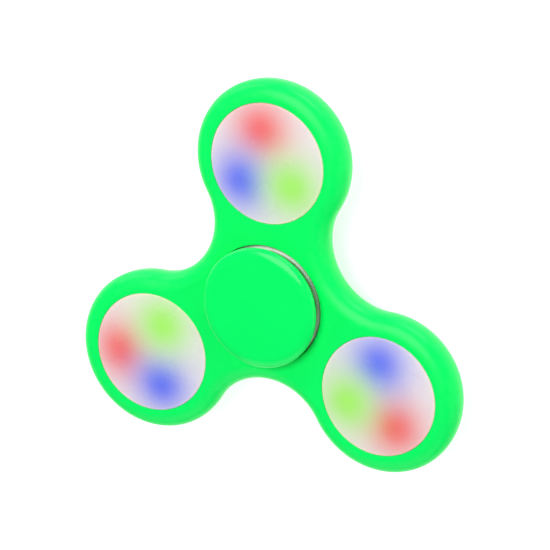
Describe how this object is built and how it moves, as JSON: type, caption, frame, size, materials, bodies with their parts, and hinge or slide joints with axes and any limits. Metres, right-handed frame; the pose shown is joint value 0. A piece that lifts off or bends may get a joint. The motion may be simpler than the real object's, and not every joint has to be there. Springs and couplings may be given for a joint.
{
  "type": "fidget spinner",
  "caption": "Three-lobed hand spinner on a ball bearing, with round finger caps and a milky round light module let into each lobe.",
  "frame": {"origin": "middle of the lower finger cap's resting face", "axes": "+Z along the spin axis out of the upper finger cap, with one lobe towards +Y and the other two 120 degrees either side of it"},
  "size_m": [0.0744, 0.0682, 0.0127],
  "materials": {
    "body_green": "satin gloss moulded",
    "cap_green": "satin gloss moulded",
    "milky_cover": "translucent milky",
    "milky_back": "translucent milky",
    "button_milky": "translucent milky",
    "bearing_steel": "ground",
    "shield_steel": "pressed",
    "cage_steel": "pressed",
    "ball_steel": "polished",
    "board_green": "solder mask",
    "chip_black": "moulded",
    "switch_black": "moulded",
    "plunger_steel": "turned",
    "cell_nickel": "nickel plated",
    "contact_brass": "plated",
    "led_red": "emissive",
    "led_green": "emissive",
    "led_blue": "emissive"
  },
  "bodies": {
    "hub": {"upper_finger_cap": "cap_green", "lower_finger_cap": "cap_green", "bearing_inner_race": "bearing_steel"},
    "rotor": {"spinner_body": "body_green", "bearing_outer_race": "bearing_steel", "upper_bearing_shield": "shield_steel", "lower_bearing_shield": "shield_steel", "front_cover_1": "milky_cover", "back_cover_1": "milky_back", "circuit_board_1": "board_green", "red_led_1": "led_red", "green_led_1": "led_green", "blue_led_1": "led_blue", "controller_chip_1": "chip_black", "tact_switch_1": "switch_black", "button_cells_1": "cell_nickel", "battery_plate_1": "contact_brass", "contact_springs_1": "contact_brass", "front_cover_2": "milky_cover", "back_cover_2": "milky_back", "circuit_board_2": "board_green", "red_led_2": "led_red", "green_led_2": "led_green", "blue_led_2": "led_blue", "controller_chip_2": "chip_black", "tact_switch_2": "switch_black", "button_cells_2": "cell_nickel", "battery_plate_2": "contact_brass", "contact_springs_2": "contact_brass", "front_cover_3": "milky_cover", "back_cover_3": "milky_back", "circuit_board_3": "board_green", "red_led_3": "led_red", "green_led_3": "led_green", "blue_led_3": "led_blue", "controller_chip_3": "chip_black", "tact_switch_3": "switch_black", "button_cells_3": "cell_nickel", "battery_plate_3": "contact_brass", "contact_springs_3": "contact_brass"},
    "cage": {"upper_cage_half": "cage_steel", "lower_cage_half": "cage_steel", "cage_rivets": "cage_steel"},
    "ball_1": {"ball_1": "ball_steel"},
    "ball_2": {"ball_2": "ball_steel"},
    "ball_3": {"ball_3": "ball_steel"},
    "ball_4": {"ball_4": "ball_steel"},
    "ball_5": {"ball_5": "ball_steel"},
    "ball_6": {"ball_6": "ball_steel"},
    "ball_7": {"ball_7": "ball_steel"},
    "button_1": {"switch_plunger_1": "plunger_steel", "push_button_1": "button_milky"},
    "button_2": {"switch_plunger_2": "plunger_steel", "push_button_2": "button_milky"},
    "button_3": {"switch_plunger_3": "plunger_steel", "push_button_3": "button_milky"}
  },
  "joints": [
    {"name": "rotor_spin", "type": "hinge", "parent": "hub", "child": "rotor", "pos_m": [0, 0, 0.00635], "axis": [0, 0, 1], "continuous": true},
    {"name": "cage_orbit", "type": "hinge", "parent": "hub", "child": "cage", "pos_m": [0, 0, 0.00635], "axis": [0, 0, 1], "continuous": true},
    {"name": "ball_1_roll", "type": "hinge", "parent": "cage", "child": "ball_1", "pos_m": [0.0075, 0, 0.00635], "axis": [0, 0, 1], "continuous": true},
    {"name": "ball_2_roll", "type": "hinge", "parent": "cage", "child": "ball_2", "pos_m": [0.00468, 0.00586, 0.00635], "axis": [0, 0, 1], "continuous": true},
    {"name": "ball_3_roll", "type": "hinge", "parent": "cage", "child": "ball_3", "pos_m": [-0.00167, 0.00731, 0.00635], "axis": [0, 0, 1], "continuous": true},
    {"name": "ball_4_roll", "type": "hinge", "parent": "cage", "child": "ball_4", "pos_m": [-0.00676, 0.00325, 0.00635], "axis": [0, 0, 1], "continuous": true},
    {"name": "ball_5_roll", "type": "hinge", "parent": "cage", "child": "ball_5", "pos_m": [-0.00676, -0.00325, 0.00635], "axis": [0, 0, 1], "continuous": true},
    {"name": "ball_6_roll", "type": "hinge", "parent": "cage", "child": "ball_6", "pos_m": [-0.00167, -0.00731, 0.00635], "axis": [0, 0, 1], "continuous": true},
    {"name": "ball_7_roll", "type": "hinge", "parent": "cage", "child": "ball_7", "pos_m": [0.00468, -0.00586, 0.00635], "axis": [0, 0, 1], "continuous": true},
    {"name": "button_1_press", "type": "slide", "parent": "rotor", "child": "button_1", "axis": [0, 0, 1], "range_m": [0, 0.0003], "stiffness_N_per_m": 4000},
    {"name": "button_2_press", "type": "slide", "parent": "rotor", "child": "button_2", "axis": [0, 0, 1], "range_m": [0, 0.0003], "stiffness_N_per_m": 4000},
    {"name": "button_3_press", "type": "slide", "parent": "rotor", "child": "button_3", "axis": [0, 0, 1], "range_m": [0, 0.0003], "stiffness_N_per_m": 4000}
  ],
  "couplings": [
    {"joint": "cage_orbit", "follows": "rotor_spin", "ratio": 0.6323},
    {"joint": "ball_1_roll", "follows": "rotor_spin", "ratio": 1.7567},
    {"joint": "ball_2_roll", "follows": "rotor_spin", "ratio": 1.7567},
    {"joint": "ball_3_roll", "follows": "rotor_spin", "ratio": 1.7567},
    {"joint": "ball_4_roll", "follows": "rotor_spin", "ratio": 1.7567},
    {"joint": "ball_5_roll", "follows": "rotor_spin", "ratio": 1.7567},
    {"joint": "ball_6_roll", "follows": "rotor_spin", "ratio": 1.7567},
    {"joint": "ball_7_roll", "follows": "rotor_spin", "ratio": 1.7567}
  ]
}
